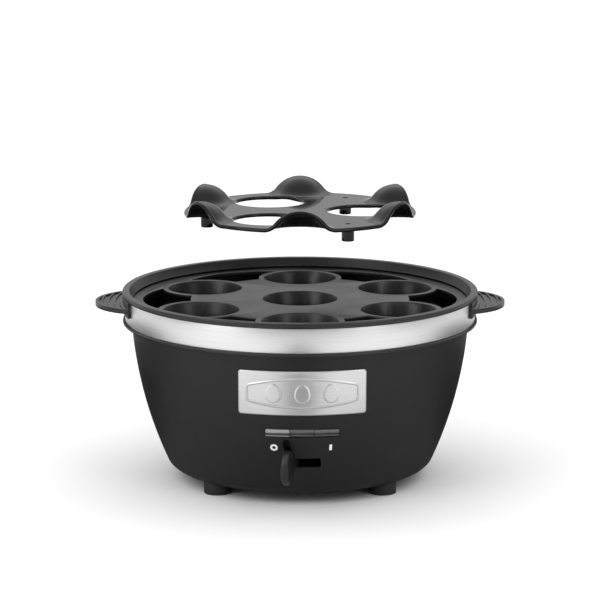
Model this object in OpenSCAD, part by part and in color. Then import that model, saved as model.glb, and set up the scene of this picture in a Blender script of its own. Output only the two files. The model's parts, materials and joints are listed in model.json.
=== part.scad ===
// Electric egg cooker: a round base with a water dish, a lower tray for seven eggs
// and an upper tray for three. Millimetres, +Z up, front towards -Y,
// origin on the standing surface under the middle of the body.

/* [Body] */
// Outer radius of the body at its top edge
body_top_r = 76.4; // [72:0.2:95]
// Height of the body from its underside to its top edge
body_h = 66.2; // [58:0.2:82]
// Radius of the long curve of the body's side, seen in section
body_bulge_r = 185; // [160:5:260]
// Lean of the side at the top edge, in degrees from upright
body_lean = 4; // [2:0.5:6]
// Radius of the bottom corner
corner_r = 3.5; // [2:0.5:6]
// Wall thickness of the body
wall = 2.2; // [1.8:0.1:3]
/* [Collar and band] */
// How far the collar's flange stands out from the body's top edge
flange_out = 4.0; // [3:0.1:6]
// Thickness of the flange
flange_t = 1.2; // [1:0.1:2]
// Height of the steel band
band_h = 11; // [8:0.5:16]
// Thickness of the steel band
band_t = 0.5; // [0.4:0.1:0.8]
// How far the flange stands out past the band
band_inset = 1.1; // [0.8:0.1:2]
// Wall thickness of the collar
collar_t = 1.6; // [1.4:0.1:2.4]
// Depth from the collar's flange down to the lip that holds the dish
collar_drop = 12.7; // [10:0.1:16]
/* [Heating dish] */
// Depth of the dish from its rim to its floor
dish_depth = 13; // [10:0.5:15]
// Thickness of the dish
dish_t = 1.5; // [1:0.1:2]
// Radius of the heater's ring
element_ring_r = 36; // [32:0.5:39]
// Radius of the heater's tube
element_r = 3.2; // [2.5:0.1:3.6]
// Height of the space between the dish and the heat shield
shield_gap = 9.5; // [8.5:0.5:12]
/* [Lower tray] */
// Height of the tray's lip over the collar
lip_h = 2.2; // [1.6:0.1:3]
// How far the lip stands out past the steel band
lip_out = 1.2; // [1:0.1:2]
// Depth from the top of the lip down to the tray's plate
plate_drop = 4.7; // [4:0.1:8]
// Thickness of the tray's plate
plate_t = 1.6; // [1.2:0.1:2.4]
// Diameter of an egg seat at the plate
seat_d = 34; // [28:0.5:41]
// Depth of the sleeve under an egg seat
sleeve_h = 5.5; // [4:0.5:7]
// Radius of the outer edge of a steam opening
steam_edge_r = 38.5; // [30:0.5:46]
// How far a handle reaches past the lip
handle_reach = 12.4; // [10:0.2:18]
// Radius of a handle's round outline
handle_r = 25; // [20:0.5:30]
// Thickness of a handle
handle_t = 2.2; // [1.8:0.1:3]
/* [Upper tray] */
// Radius of the upper tray
upper_r = 52.4; // [48:0.2:60]
// Height of the upper tray's plate over the lower tray's lip, resting on eggs
upper_gap = 35.7; // [30:0.1:43]
// Thickness of the upper tray
upper_t = 1.6; // [1.2:0.1:2.2]
// Radius of the upper egg seats' circle
upper_ring_r = 28; // [25:0.5:33]
// Diameter of an upper egg seat
upper_seat_d = 32; // [27:0.5:36]
// Radius of the round top of an arch
arch_r = 13; // [11:0.5:15]
// Radius of the fillet where an arch runs into the plate
arch_fillet_r = 7; // [5:0.5:8]
// Length of a peg under the plate
peg_h = 6; // [5:0.5:8]
// Radius of a peg
peg_r = 2.8; // [2.2:0.1:3.4]
/* [Switch and lamp] */
// Height of the switch slot's middle over the standing surface
slot_z = 21; // [19:0.5:25]
// Height of the slot
slot_h = 4.4; // [4:0.1:5.4]
// Width of the slot
slot_w = 16.1; // [14.5:0.1:20]
// Swing of the lever from off to on, in degrees
lever_swing = 30; // [20:1:34]
// Distance of the lever's pivot behind the body's surface
lever_depth = 16; // [14.5:0.5:19]
// Radius of the lever's pivot pin
pin_r = 1.5; // [1.2:0.1:1.8]
// Length of the lamp window
lamp_w = 32; // [26:0.5:38]
// Height of the lamp window
lamp_h = 3.7; // [3:0.1:4.4]
// Height of the lamp window's middle over the slot's middle
lamp_rise = 14.4; // [12.5:0.1:17]
// Width of the front plate
name_w = 55.3; // [46:0.1:66]
// Height of the front plate
name_h = 20.3; // [17:0.1:24]
// Height of the front plate's middle over the slot's middle
name_rise = 33; // [31:0.5:35]
/* [Underside] */
// Height of the feet
foot_h = 5; // [4:0.2:6]
// Radius of a foot
foot_r = 6; // [5:0.2:7]
// Radius of the cord's hole
cord_r = 3.4; // [2.8:0.1:4]

/* [Hidden] */
$fn = 96;
cut = 1;               // how far a cutting shape runs past what it cuts
fit = 0.05;            // radial clearance of a pin in its bore
slip = 0.2;            // clearance between parts that slide or drop into each other

// Body section: one long curve, and a round corner at the bottom.
body_z0 = foot_h;
body_z1 = body_z0 + body_h;
body_cx = body_top_r - body_bulge_r * cos(body_lean);
body_cz = body_z1 + body_bulge_r * sin(body_lean);
function side_r(z) = body_cx + sqrt(pow(body_bulge_r, 2) - pow(z - body_cz, 2));
function corner_in(z) = z < body_z0 + corner_r
    ? corner_r - sqrt(pow(corner_r, 2) - pow(corner_r - z + body_z0, 2)) : 0;
function body_r(z) = side_r(z) - corner_in(z);
function corner_zs(n) = [for (i = [0:n - 1]) body_z0 + corner_r * (1 - cos(90 * i / n))];
function even_zs(z0, z1, n) = [for (i = [0:n]) z0 + (z1 - z0) * i / n];
function body_line(zs, out) = [for (z = zs) [body_r(z) + out, z]];
function reversed(a) = [for (i = [len(a) - 1:-1:0]) a[i]];

// Collar, band and lower tray, from the body's top edge outwards and upwards
flange_r = body_top_r + flange_out;
flange_z = body_z1 + flange_t;
band_r = flange_r - band_inset;
band_z1 = flange_z + band_h;
upstand_r = band_r - band_t - fit;
upstand_t = 1.1;
lip_z0 = band_z1 + slip;
lip_z1 = lip_z0 + lip_h;
lip_r = band_r + lip_out;
tray_wall_r = upstand_r - upstand_t - 2 * slip;
tray_wall_t = 1.4;
plate_z1 = lip_z1 - plate_drop;
plate_z0 = plate_z1 - plate_t;

// Dish, seal and shield, hung from the collar's lower lip
lip_low_z = body_z1 - collar_drop;
basin_r = body_r(lip_low_z) - wall - collar_t - 4 * slip;
collar_lip_r = basin_r - 5.5;
seal_h = 1.5;
seal_z = lip_low_z + collar_t;
dish_rim_z = seal_z + seal_h + dish_t;
dish_floor_z = dish_rim_z - dish_depth;
dish_rim_r = basin_r - 2 * slip;
dish_under_z = dish_floor_z - dish_t;
dish_side_r = collar_lip_r - 1.2;
shield_z = dish_under_z - shield_gap - 1;
shield_r = element_ring_r + element_r + 10.8;
stud_ring_r = element_ring_r + element_r + 6.8;
stud_angles = [30, 150, 270];
stud_r = 2;
terminal_angle = 20;   // of each heater end, from straight behind

// Egg seats: one in the middle and six in a ring
seat_r = seat_d / 2;
sleeve_t = 1.4;
seat_taper = 2;
seat_ring_r = basin_r - seat_r - sleeve_t - 7 * slip;
seat_angles = [30:60:330];
steam_angles = [0:60:300];
steam_r = basin_r + 0.7;
plate_split_r = steam_r + 1.2;
sleeve_z0 = plate_z0 - sleeve_h;
handle_z1 = lip_z1 - 5.3;
handle_z0 = handle_z1 - handle_t;
handle_tip_r = lip_r + handle_reach;
apron_angle = 18;
apron_drop = 1.8;

// Upper tray: its arches fit over the outer eggs
upper_z1 = lip_z1 + upper_gap;
arch_angle = 53;
arch_w = (arch_r + arch_fillet_r) * sin(arch_angle);
arch_h = (arch_r + arch_fillet_r) * (1 - cos(arch_angle));
peg_angles = [60, 180, 300];
peg_ring_r = upper_r - 10.4;
upper_angles = [0, 120, 240];

// Front: switch, lamp and plate
front_x = 1;
slot_depth_r = body_r(slot_z);
pivot_y = lever_depth - slot_depth_r;
lamp_z = slot_z + lamp_rise;
name_z = slot_z + name_rise;
mark_z = slot_z + 7.4;
mark_x = 12.3;
arm_h = slot_h - 0.7;
arm_t = 3;
hub_r = 4;
hub_h = arm_h + 2;
tail = 8;
tail_r = 1.3;
paddle_r = 6.5;
paddle_h = 15.3;
paddle_y = lever_depth + 9;
rest_turn = -lever_swing / 2;
slider_x = front_x - tail * sin(rest_turn);
slider_z0 = slot_z - 6.9;
slider_h = slot_z - arm_h / 2 - 0.25 - slider_z0;
bracket_t = 1.9;
bracket_x = 10;
bracket_screw_x = bracket_x + 3.9;
bracket_z0 = slider_z0 - 2 * fit - bracket_t;
bracket_z1 = slot_z + hub_h / 2 + 3.1;
bracket_y1 = pivot_y + 24;
board_y = -(body_r(lamp_z) - wall - 8.3);
board_t = 1.6;
board_h = 11.6;
board_z0 = lamp_z - 8;
board_screw_x = 14;
board_screw_z = lamp_z - 5.7;

// Underside
flat_r = side_r(body_z0) - corner_r;
foot_ring_r = flat_r - 3.4;
foot_angles = [45:90:315];
foot_sink = 1;
cover_t = 1.6;
cover_r = foot_ring_r - foot_r - 0.6;
floor_z = body_z0 + wall;
shelf_z = body_z0 + cover_t + 2;
shelf_in_r = cover_r - 8;
boss_ring_r = cover_r - 4;
boss_r = 3.4;
boss_h = 7;
screw_r = 1.25;

// Rear: cord entry
gland_z = body_z0 + 12;
gland_y = body_r(gland_z) + 3.6;
gland_in_y = body_r(gland_z) - wall - 0.9;
gland_r = 5;
block_y = shelf_in_r - 5;

// Copies the children at each angle of a circle.
module ring_of(angles, r) {
    for (a = angles) rotate([0, 0, a]) translate([r, 0, 0]) children();
}

// A cylinder that lies along Y, from y0 to y1.
module bar_y(y0, y1, r) {
    translate([0, y1, 0]) rotate([90, 0, 0]) cylinder(h = y1 - y0, r = r);
}

// A flat rectangle with round corners, about the origin.
module round_rect(w, h, r) {
    square([w - 2 * r, h], center = true);
    square([w, h - 2 * r], center = true);
    for (x = [-1, 1], y = [-1, 1]) translate([x * (w / 2 - r), y * (h / 2 - r)]) circle(r);
}

// The same rectangle cut straight through the front wall, at height z.
module front_prism(w, h, r, z) {
    translate([front_x, 0, z]) rotate([90, 0, 0]) linear_extrude(height = 2 * flange_r)
        round_rect(w, h, r);
}

// A skin that follows the body's side from z0 to z1, between two offsets.
module body_skin(z0, z1, in, out) {
    zs = even_zs(z0, z1, 8);
    rotate_extrude() polygon(concat(body_line(zs, out), reversed(body_line(zs, in))));
}

// Rings of a tube through the given points, each square to the run of the tube.
function run_at(p, i) = let (v = p[min(i + 1, len(p) - 1)] - p[max(i - 1, 0)]) v / norm(v);
function unit(v) = v / norm(v);
function tube_rings(p, r, n) = [for (i = [0:len(p) - 1]) let (
    d = run_at(p, i),
    u = unit(cross(d, [0.31, 0.52, 0.79])),
    w = cross(d, u))
    for (k = [0:n - 1]) p[i] + r * (cos(360 * k / n) * u + sin(360 * k / n) * w)];

// A wire through the given points.
module wire_path(p, r) {
    n = 8;
    last = (len(p) - 1) * n;
    sides = [for (i = [0:len(p) - 2], k = [0:n - 1], half = [0, 1]) let (
        a = i * n + k,
        b = i * n + (k + 1) % n)
        half == 0 ? [a, b, b + n] : [a, b + n, a + n]];
    ends = [[for (k = [n - 1:-1:0]) k], [for (k = [0:n - 1]) last + k]];
    polyhedron(tube_rings(p, r, n), concat(sides, ends));
}

module bowl() {
    outer = concat(corner_zs(6), even_zs(body_z0 + corner_r, body_z1, 18));
    inner = even_zs(floor_z, body_z1, 18);
    rotate_extrude() polygon(concat([[shelf_in_r, body_z0]], body_line(outer, 0),
        reversed(body_line(inner, -wall)), [[shelf_in_r, floor_z]]));
}

module slot_cut() {
    leg_w = 2.9;
    leg_h = 10.2;
    leg_lean = 12;
    translate([front_x - slot_w / 2, -flange_r, slot_z - slot_h / 2])
        cube([slot_w, flange_r - 30, slot_h]);
    translate([front_x - slot_w / 2 + 3.2, 0, slot_z]) rotate([0, -leg_lean, 0]) {
        translate([-leg_w / 2, -flange_r, 0]) cube([leg_w, flange_r - 30, leg_h]);
        translate([0, 0, leg_h]) bar_y(-flange_r, -30, leg_w / 2);
    }
}

// Places its children on the body's side, with +Z pointing straight out of it.
module on_side(x, z) {
    lean = asin((body_cz - z) / body_bulge_r);
    rotate([0, 0, asin(x / body_r(z)) - 90]) translate([body_r(z), 0, z])
        rotate([0, 90 + lean, 0]) children();
}

module mark_inlay() {
    on_side(front_x - mark_x, mark_z) translate([0, 0, -0.4]) linear_extrude(height = 0.44)
        difference() {
            circle(1.65);
            circle(0.75);
        }
    on_side(front_x + mark_x, mark_z) translate([0, 0, -0.4]) linear_extrude(height = 0.44)
        round_rect(2.9, 1.15, 0.3);
}

// Posts that stand off the wall and carry the circuit board.
module board_posts(r) {
    mid_r = body_r(board_screw_z) - wall / 2;
    for (s = [-1, 1]) {
        x = front_x + s * board_screw_x;
        translate([x, 0, board_screw_z])
            bar_y(-sqrt(pow(mid_r, 2) - pow(x, 2)), board_y - board_t, r);
    }
}

module base_shell() {
    color("#232325") difference() {
        union() {
            bowl();
            difference() {
                translate([0, 0, body_z0]) cylinder(h = shelf_z - body_z0, r = cover_r + 2);
                translate([0, 0, body_z0 - cut]) cylinder(h = body_h, r = shelf_in_r);
            }
            ring_of(foot_angles, boss_ring_r) translate([0, 0, shelf_z - cut])
                cylinder(h = boss_h + cut, r = boss_r);
            translate([0, 0, gland_z]) bar_y(gland_in_y, gland_y, gland_r + 3);
            board_posts(2.2);
        }
        translate([0, 0, body_z0 - cut]) cylinder(h = cover_t + cut, r = cover_r + slip);
        ring_of(foot_angles, boss_ring_r) translate([0, 0, body_z0])
            cylinder(h = body_h / 2, r = screw_r + fit);
        ring_of(foot_angles, foot_ring_r) translate([0, 0, body_z0 - cut]) {
            cylinder(h = foot_sink + cut, r = foot_r + fit);
            cylinder(h = wall + 2 * cut, r = 2.5 + fit);
        }
        translate([0, 0, gland_z]) {
            bar_y(0, 2 * gland_y, gland_r + fit);
            bar_y(0, gland_in_y, gland_r + 1.5);
        }
        slot_cut();
        front_prism(lamp_w + 0.1, lamp_h + 0.1, 1.05, lamp_z);
        board_posts(1);
        mark_inlay();
    }
}

module collar_ring() {
    color("#1e1e20") rotate_extrude() polygon([
        [collar_lip_r, lip_low_z], [basin_r + collar_t, lip_low_z],
        [basin_r + collar_t, body_z1], [flange_r - 0.3, body_z1], [flange_r, body_z1 + 0.3],
        [flange_r, flange_z - 0.3], [flange_r - 0.3, flange_z], [upstand_r, flange_z],
        [upstand_r, band_z1], [upstand_r - upstand_t, band_z1],
        [upstand_r - upstand_t, flange_z + 0.4], [basin_r, flange_z + 0.4],
        [basin_r, seal_z], [collar_lip_r, seal_z]]);
}

module steel_band() {
    color("#c9cacc") rotate_extrude() translate([band_r - band_t, flange_z])
        square([band_t, band_h]);
}

module heating_dish() {
    color("#8f9092") rotate_extrude() polygon([
        [0, dish_under_z], [dish_side_r - 8, dish_under_z], [dish_side_r - 3, dish_under_z + 2.4],
        [dish_side_r, dish_under_z + 6], [dish_side_r, dish_rim_z - dish_t],
        [dish_rim_r, dish_rim_z - dish_t], [dish_rim_r, dish_rim_z],
        [dish_side_r - dish_t, dish_rim_z], [dish_side_r - dish_t, dish_under_z + 6.6],
        [dish_side_r - 4.2, dish_under_z + 3.5], [dish_side_r - 8.7, dish_floor_z],
        [0, dish_floor_z]]);
}

module dish_seal() {
    color("#9a3b2c") rotate_extrude() translate([collar_lip_r, seal_z])
        square([dish_rim_r - collar_lip_r, seal_h]);
}

module heating_element() {
    color("#6d6e70") translate([0, 0, dish_under_z - element_r])
        rotate([0, 0, 90 + terminal_angle])
            rotate_extrude(angle = 360 - 2 * terminal_angle) translate([element_ring_r, 0])
                circle(element_r, $fn = 32);
}

// One pin and sleeve at each end of the heater, hanging down through the shield.
module element_terminals() {
    color("#e8e4da") for (s = [-1, 1]) rotate([0, 0, 90 + s * (terminal_angle - 6)])
        translate([element_ring_r, 0, 0]) {
            translate([0, 0, shield_z - 5]) cylinder(h = dish_under_z - shield_z + 5 - 0.4, r = 2.6);
            translate([0, 0, shield_z - 9]) cylinder(h = 4, r = 1.2);
        }
}

module heat_shield() {
    color("#b4b5b8") difference() {
        rotate_extrude() polygon([
            [0, shield_z], [shield_r, shield_z], [collar_lip_r + 1, shield_z + 8],
            [collar_lip_r + 1, lip_low_z - 1], [basin_r + collar_t - 0.6, lip_low_z - 1],
            [basin_r + collar_t - 0.6, lip_low_z], [collar_lip_r, lip_low_z],
            [collar_lip_r, shield_z + 8.6], [shield_r - 0.5, shield_z + 1], [0, shield_z + 1]]);
        translate([0, 0, shield_z - cut]) cylinder(h = 3 * cut, r = 9.4);
        ring_of(stud_angles, stud_ring_r) translate([0, 0, shield_z - cut])
            cylinder(h = 3 * cut, r = stud_r + fit);
        for (s = [-1, 1]) rotate([0, 0, 90 + s * (terminal_angle - 6)])
            translate([element_ring_r, 0, shield_z - cut]) cylinder(h = 3 * cut, r = 3.4);
    }
}

module dish_studs() {
    color("#a8a9ab") ring_of(stud_angles, stud_ring_r) translate([0, 0, shield_z - 5])
        cylinder(h = dish_under_z - shield_z + 5, r = stud_r);
}

module stud_nuts() {
    color("#c2c3c5") ring_of(stud_angles, stud_ring_r) translate([0, 0, shield_z - 3.2])
        difference() {
            cylinder(h = 3.2, r = 4, $fn = 6);
            translate([0, 0, -cut]) cylinder(h = 3.2 + 2 * cut, r = stud_r + fit);
        }
}

module thermostat() {
    color("#2b2b2d") {
        translate([0, 0, dish_under_z - 4]) cylinder(h = 4, r = 8);
        translate([0, 0, shield_z - 2]) cylinder(h = dish_under_z - shield_z - 2, r = 7.4);
        for (x = [-1, 1]) translate([x * 4.5 - 1.6, -0.4, shield_z - 9]) cube([3.2, 0.8, 7]);
    }
}

module thermostat_clip() {
    color("#b9babc") for (y = [-1, 1]) translate([0, y * 4.2, 0]) {
        translate([-18, -1.5, shield_z - 2.8]) cube([36, 3, 0.8]);
        for (x = [-1, 1]) translate([x * 16 - 2, -1.5, shield_z - 2]) cube([4, 3, 2]);
    }
}

module thermal_fuse() {
    color("#d8d4c6") translate([0, 17, shield_z - 2.2]) rotate([0, 90, 0]) {
        translate([0, 0, -6]) cylinder(h = 12, r = 2);
        translate([0, 0, -12]) cylinder(h = 24, r = 0.6);
    }
}

module base_cover() {
    color("#1c1c1e") difference() {
        translate([0, 0, body_z0]) cylinder(h = cover_t, r = cover_r);
        ring_of(foot_angles, boss_ring_r) translate([0, 0, body_z0 - cut])
            cylinder(h = cover_t + 2 * cut, r = screw_r + fit);
        for (a = [0:30:330]) rotate([0, 0, a]) translate([14, -1.2, body_z0 - cut])
            cube([16, 2.4, cover_t + 2 * cut]);
    }
}

module cover_screws() {
    color("#8b8c8e") ring_of(foot_angles, boss_ring_r) {
        translate([0, 0, body_z0 - 1.5]) cylinder(h = 1.5, r = 2.7);
        translate([0, 0, body_z0 - cut]) cylinder(h = boss_h + cut, r = screw_r);
    }
}

module rubber_feet() {
    color("#121213") ring_of(foot_angles, foot_ring_r) {
        cylinder(h = 0.8, r1 = foot_r - 0.8, r2 = foot_r);
        translate([0, 0, 0.8]) cylinder(h = foot_h + foot_sink - 0.8, r = foot_r);
        translate([0, 0, foot_h]) cylinder(h = wall + 0.6, r = 2.5);
    }
}

// The plate's raised frame: its long sides bow outwards, and it can be drawn inset.
module frame_prism(inset) {
    bow = 3.3;
    half_w = name_w / 2 - 3.2;
    half_h = name_h / 2 - 3.1;
    bow_r = (pow(half_w, 2) + pow(bow, 2)) / (2 * bow);
    translate([front_x, 0, name_z]) rotate([90, 0, 0]) linear_extrude(height = 2 * flange_r)
        intersection() {
            translate([0, half_h - bow_r]) circle(bow_r - inset);
            translate([0, bow_r - half_h]) circle(bow_r - inset);
            square([2 * (half_w - inset), name_h], center = true);
        }
}

module nameplate() {
    plate_t = 0.8;
    frame_h = 0.35;
    color("#cfd0d2") {
        intersection() {
            body_skin(name_z - name_h / 2 - 1, name_z + name_h / 2 + 1, 0, plate_t);
            front_prism(name_w, name_h, 1.4, name_z);
        }
        intersection() {
            body_skin(name_z - name_h / 2, name_z + name_h / 2, plate_t - 0.1, plate_t + frame_h);
            difference() {
                frame_prism(0);
                frame_prism(0.85);
            }
        }
    }
}

module light_lens() {
    color("#dfe6ea", 0.6) {
        intersection() {
            body_skin(lamp_z - lamp_h, lamp_z + lamp_h, -wall - 0.8, 0);
            front_prism(lamp_w, lamp_h, 1, lamp_z);
        }
        intersection() {
            body_skin(lamp_z - lamp_h, lamp_z + lamp_h, -wall - 1.8, -wall - 0.05);
            front_prism(lamp_w + 3, lamp_h + 2.4, 1, lamp_z);
        }
    }
}

module indicator_lamp() {
    color("#f2efe4") translate([front_x, 0, lamp_z]) {
        bar_y(board_y - board_t - 2.9, board_y - board_t, 1.5);
        translate([0, board_y - board_t - 2.9, 0]) sphere(r = 1.5, $fn = 32);
    }
}

module circuit_board() {
    color("#2f6b3e") difference() {
        translate([front_x - 18, board_y - board_t, board_z0]) cube([36, board_t, board_h]);
        for (x = [-1, 1]) translate([front_x + x * board_screw_x, 0, board_screw_z])
            bar_y(board_y - 3, board_y + 3, 1.2);
    }
}

module board_screws() {
    color("#8b8c8e") for (x = [-1, 1])
        translate([front_x + x * board_screw_x, 0, board_screw_z]) {
            bar_y(board_y, board_y + 1.4, 2);
            bar_y(board_y - board_t - 3, board_y + 0.2, 0.95);
        }
}

module buzzer() {
    color("#18181a") translate([front_x - 7, 0, board_z0 + board_h / 2]) difference() {
        bar_y(board_y, board_y + 6, 4.8);
        bar_y(board_y + 5, board_y + 7, 1);
    }
}

module switch_marks() {
    color("#f4f4f2") mark_inlay();
}

module switch_bracket() {
    post_h = slot_z - hub_h / 2 - 2 * fit - bracket_z0;
    color("#3a3a3d") difference() {
        union() {
            translate([front_x - bracket_x, pivot_y - 6, bracket_z0])
                cube([2 * bracket_x, bracket_y1 - pivot_y + 6, bracket_t]);
            translate([front_x - bracket_x, pivot_y - 6, bracket_z1 - bracket_t])
                cube([2 * bracket_x, 12, bracket_t]);
            for (x = [-1, 1]) translate([front_x + x * bracket_x - 1, pivot_y + 2, bracket_z0])
                cube([2, 4, bracket_z1 - bracket_z0]);
            translate([front_x, pivot_y, bracket_z0]) cylinder(h = post_h, r = 3);
            translate([front_x, pivot_y, slot_z + hub_h / 2 + 2 * fit])
                cylinder(h = bracket_z1 - slot_z - hub_h / 2 - 2 * fit, r = 3);
            for (x = [-1, 1]) translate([front_x + x * bracket_screw_x, pivot_y + 6, shelf_z])
                cylinder(h = bracket_z0 + bracket_t - shelf_z, r = 3.6);
        }
        translate([front_x, pivot_y, bracket_z0 - cut])
            cylinder(h = bracket_z1 - bracket_z0 + 2 * cut, r = pin_r + fit);
        for (x = [-1, 1]) translate([front_x + x * bracket_screw_x, pivot_y + 6, shelf_z - cut])
            cylinder(h = body_h, r = screw_r + fit);
    }
}

module bracket_screws() {
    color("#8b8c8e") for (x = [-1, 1])
        translate([front_x + x * bracket_screw_x, pivot_y + 6, 0]) {
            translate([0, 0, bracket_z0 + bracket_t]) cylinder(h = 1.5, r = 2.5);
            translate([0, 0, shelf_z]) cylinder(h = bracket_z0 + bracket_t - shelf_z + 0.5,
                r = screw_r);
        }
}

module switch_body() {
    body_y = pivot_y + tail + 7.6;
    color("#1f2326") {
        translate([front_x - 9, body_y, slider_z0 - 2 * fit]) cube([18, 8, 9]);
        for (x = [-1, 1]) translate([front_x + x * 4.5 - 1.6, body_y + 7.5, slider_z0 + 3])
            cube([3.2, 5, 0.8]);
    }
}

module switch_slider() {
    color("#d9d6cb") difference() {
        translate([slider_x - 5.5, pivot_y + tail - 4, slider_z0]) cube([11, 10.6, slider_h]);
        translate([slider_x - tail_r - slip, pivot_y + tail - 3, slider_z0 - cut])
            cube([2 * (tail_r + slip), 6, slider_h + 2 * cut]);
    }
}

// The lever is drawn pointing straight out, and turned to its off place at rest.
module switch_lever() {
    color("#2a2a2c") translate([front_x, pivot_y, slot_z]) rotate([0, 0, rest_turn])
        difference() {
            union() {
                translate([0, 0, -hub_h / 2]) cylinder(h = hub_h, r = hub_r);
                translate([-arm_t / 2, -paddle_y, -arm_h / 2]) cube([arm_t, paddle_y, arm_h]);
                translate([-1.3, 0, -arm_h / 2]) cube([2.6, tail, arm_h]);
                translate([0, tail, slider_z0 - slot_z + 0.8])
                    cylinder(h = slot_z - slider_z0 - 0.8 + arm_h / 2, r = tail_r);
                translate([0, -paddle_y, 0]) rotate([0, 90, 0]) {
                    for (z = [-1, 1]) translate([z * (paddle_h / 2 - paddle_r), 0, -arm_t / 2])
                        cylinder(h = arm_t, r = paddle_r);
                    translate([paddle_r - paddle_h / 2, -paddle_r, -arm_t / 2])
                        cube([paddle_h - 2 * paddle_r, 2 * paddle_r, arm_t]);
                }
            }
            translate([0, 0, -hub_h]) cylinder(h = 2 * hub_h, r = pin_r + fit);
        }
}

module lever_pin() {
    color("#b7b8ba") translate([front_x, pivot_y, bracket_z0 + 0.2])
        cylinder(h = bracket_z1 - bracket_z0 - 0.4, r = pin_r);
}

module terminal_block() {
    color("#e3e0d6") difference() {
        translate([-10, block_y, shelf_z]) cube([20, 11, 9]);
        for (x = [-5, 0, 5]) translate([x, 0, shelf_z + 5]) {
            bar_y(block_y - cut, block_y + 12, 1.3);
            translate([0, block_y + 5.5, 0]) cylinder(h = 9, r = 1.6);
        }
    }
}

module cord_gland() {
    color("#1a1a1b") translate([0, 0, gland_z]) difference() {
        union() {
            bar_y(gland_y, gland_y + 2.5, gland_r + 1.6);
            bar_y(gland_in_y - 2, gland_y + cut, gland_r);
            bar_y(gland_in_y - 2, gland_in_y, gland_r + 1.3);
        }
        bar_y(0, 2 * gland_y, cord_r);
    }
}

module cord_clamp() {
    clamp_y = block_y + 13.5;
    color("#ddd9ce") difference() {
        translate([-7.5, clamp_y, shelf_z]) cube([15, 4.2, gland_z + cord_r + 2.4 - shelf_z]);
        translate([0, 0, gland_z]) bar_y(clamp_y - cut, clamp_y + 6, cord_r);
    }
}

module live_wire() {
    color("#7a4a22") wire_path([[-5, block_y - 0.2, shelf_z + 5], [-5, block_y - 5, shelf_z + 5],
        [-17, block_y - 14, 12], [-17, 2, 12], [-6, bracket_y1 + 6, 16],
        [-6, pivot_y + tail + 19, 16]], 1.1);
}

module neutral_wire() {
    color("#2d5f9e") wire_path([[5, block_y - 0.2, shelf_z + 5], [5, block_y - 5, shelf_z + 5],
        [14, block_y - 8, 17], [14, block_y - 3, shield_z - 14],
        for (z = [shield_z - 12, shield_z - 9.2]) [element_ring_r * sin(terminal_angle - 6),
            element_ring_r * cos(terminal_angle - 6), z]], 1.1);
}

module switch_wire() {
    color("#3b3b3b") wire_path([[6.5, pivot_y + tail + 20.3, slider_z0 + 4.5],
        [6.5, bracket_y1 + 7, slider_z0 + 4.5], [8, -2, 20], [4.5, -2, shield_z - 12],
        [4.5, 0, shield_z - 9.2]], 1.1);
}

// Everything that is cut out of the tray's plate.
module seat_holes() {
    past = cut * seat_taper / (plate_z1 - sleeve_z0);
    translate([0, 0, sleeve_z0 - cut]) for (r = [0, 1]) ring_of(r == 0 ? [0] : seat_angles,
        r * seat_ring_r) cylinder(h = plate_z1 - sleeve_z0 + 2 * cut,
            r1 = seat_r - seat_taper - past, r2 = seat_r + past);
}

module steam_openings() {
    translate([0, 0, plate_z0 - cut]) linear_extrude(height = plate_t + 2 * cut) difference() {
        for (a = steam_angles) rotate(a) translate([steam_r - steam_edge_r, 0])
            circle(steam_edge_r);
        circle(seat_ring_r - 1);
        for (a = seat_angles) rotate(a) translate([seat_ring_r, 0]) circle(seat_r + 2.6);
        for (a = seat_angles) rotate(a) translate([seat_ring_r, -8]) square([seat_r * 2, 16]);
    }
}

module tray_rim() {
    color("#26262a") rotate_extrude() polygon([
        [plate_split_r, plate_z0], [tray_wall_r - 0.4, plate_z0], [tray_wall_r, lip_z0],
        [lip_r, lip_z0], [lip_r, lip_z1 - 0.6], [lip_r - 0.6, lip_z1],
        [lip_r - 3.2, lip_z1], [tray_wall_r - tray_wall_t, lip_z0 - 0.4],
        [tray_wall_r - tray_wall_t - 0.3, plate_z1], [plate_split_r, plate_z1]]);
}

// A handle's outline: a round tab that starts at the tray's wall.
module handle_outline(inset) {
    difference() {
        intersection() {
            translate([handle_tip_r - handle_r, 0]) circle(handle_r - inset);
            translate([tray_wall_r - 10, -handle_r]) square(2 * handle_r);
        }
        circle(lip_r - lip_out + slip);
    }
}

module handle() {
    rib_w = 0.8;
    rib_gap = 2.9;
    rib_start = lip_r + 3.1;
    field = 0.8;
    difference() {
        translate([0, 0, handle_z0]) linear_extrude(height = handle_t) handle_outline(0);
        translate([0, 0, handle_z1 - field]) linear_extrude(height = 2 * field) difference() {
            handle_outline(1.6);
            circle(lip_r + 1.2);
            for (i = [0:2]) difference() {
                circle(rib_start + i * rib_gap + rib_w);
                circle(rib_start + i * rib_gap);
            }
        }
    }
    rotate([0, 0, -apron_angle]) rotate_extrude(angle = 2 * apron_angle)
        translate([lip_r - lip_out + slip, handle_z0 - apron_drop])
            square([lip_out - slip, lip_z0 - handle_z0 + apron_drop]);
}

module tray_handles() {
    color("#26262a") {
        handle();
        rotate([0, 0, 180]) handle();
    }
}

// The short tapered tube under an egg seat; it runs up into the plate.
module sleeve() {
    translate([0, 0, sleeve_z0]) cylinder(h = sleeve_h + plate_t / 2,
        r1 = seat_r - seat_taper + sleeve_t, r2 = seat_r + sleeve_t);
}

module seat_plate() {
    color("#2b2b2f") difference() {
        union() {
            translate([0, 0, plate_z0]) cylinder(h = plate_t, r = plate_split_r);
            sleeve();
            ring_of(seat_angles, seat_ring_r) sleeve();
        }
        seat_holes();
        steam_openings();
    }
}

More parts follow.
